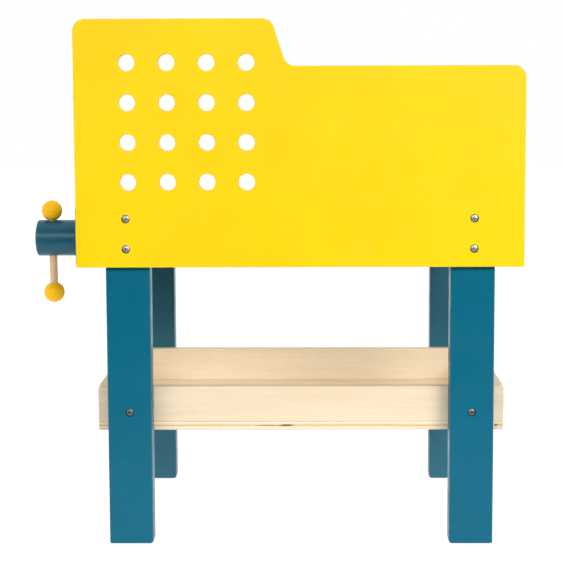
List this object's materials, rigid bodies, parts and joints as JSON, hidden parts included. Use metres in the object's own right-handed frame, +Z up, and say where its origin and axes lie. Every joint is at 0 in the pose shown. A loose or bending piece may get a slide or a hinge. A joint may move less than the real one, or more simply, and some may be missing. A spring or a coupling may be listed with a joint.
{
  "type": "toy workbench",
  "caption": "Child's wooden workbench with a stepped, perforated tool panel, a tool tray between its legs and a working screw vise on one end.",
  "frame": {"origin": "on the floor, below the middle of the whole bench's bounding box with its vise closed", "axes": "+Z up; the child stands on the -Y side and the tool panel is on the +Y side; +X towards the end with the vise"},
  "size_m": [0.5808, 0.324, 0.608],
  "materials": {
    "panel_paint": "satin yellow paint on fibreboard",
    "leg_paint": "satin blue-green paint on wood",
    "worktop_wood": "clear-lacquered light wood",
    "tray_wood": "clear-lacquered light wood",
    "tray_plywood": "clear-lacquered plywood with visible plies at its edge",
    "screw_steel": "zinc-plated",
    "dowel_wood": "sanded beech",
    "vise_paint": "satin blue-green paint on wood",
    "ball_paint": "gloss orange-yellow paint on wood"
  },
  "bodies": {
    "bench": {"back_panel": "panel_paint", "rear_leg_left": "leg_paint", "rear_leg_right": "leg_paint", "front_leg_left": "leg_paint", "front_leg_right": "leg_paint", "worktop": "worktop_wood", "front_apron": "leg_paint", "side_apron_left": "leg_paint", "side_apron_right": "leg_paint", "tray_rear_rail": "tray_wood", "tray_front_rail": "tray_wood", "tray_end_left": "tray_wood", "tray_end_right": "tray_wood", "tray_base": "tray_plywood", "panel_screws": "screw_steel", "front_leg_screws": "screw_steel", "tray_screws": "screw_steel", "tray_base_screws": "screw_steel", "worktop_dowels": "dowel_wood", "front_apron_dowels": "dowel_wood", "vise_block": "worktop_wood", "vise_block_screws": "screw_steel"},
    "jaw": {"vise_jaw": "vise_paint", "jaw_guide_rods": "dowel_wood", "screw_retaining_pins": "screw_steel"},
    "screw": {"vise_screw": "dowel_wood", "vise_head": "vise_paint"},
    "handle": {"handle_bar": "dowel_wood", "upper_ball": "ball_paint", "lower_ball": "ball_paint"}
  },
  "joints": [
    {"name": "jaw_slide", "type": "slide", "parent": "bench", "child": "jaw", "axis": [1, 0, 0], "range_m": [0, 0.048]},
    {"name": "screw_turn", "type": "hinge", "parent": "jaw", "child": "screw", "pos_m": [0.2146, 0.032, 0.348], "axis": [1, 0, 0], "range_deg": [0, 2160]},
    {"name": "handle_slide", "type": "slide", "parent": "screw", "child": "handle", "axis": [0.0105, 0, 0.9999], "range_m": [0, 0.033]}
  ],
  "couplings": [
    {"joint": "jaw_slide", "follows": "screw_turn", "m_per_rad": 0.0012732}
  ]
}
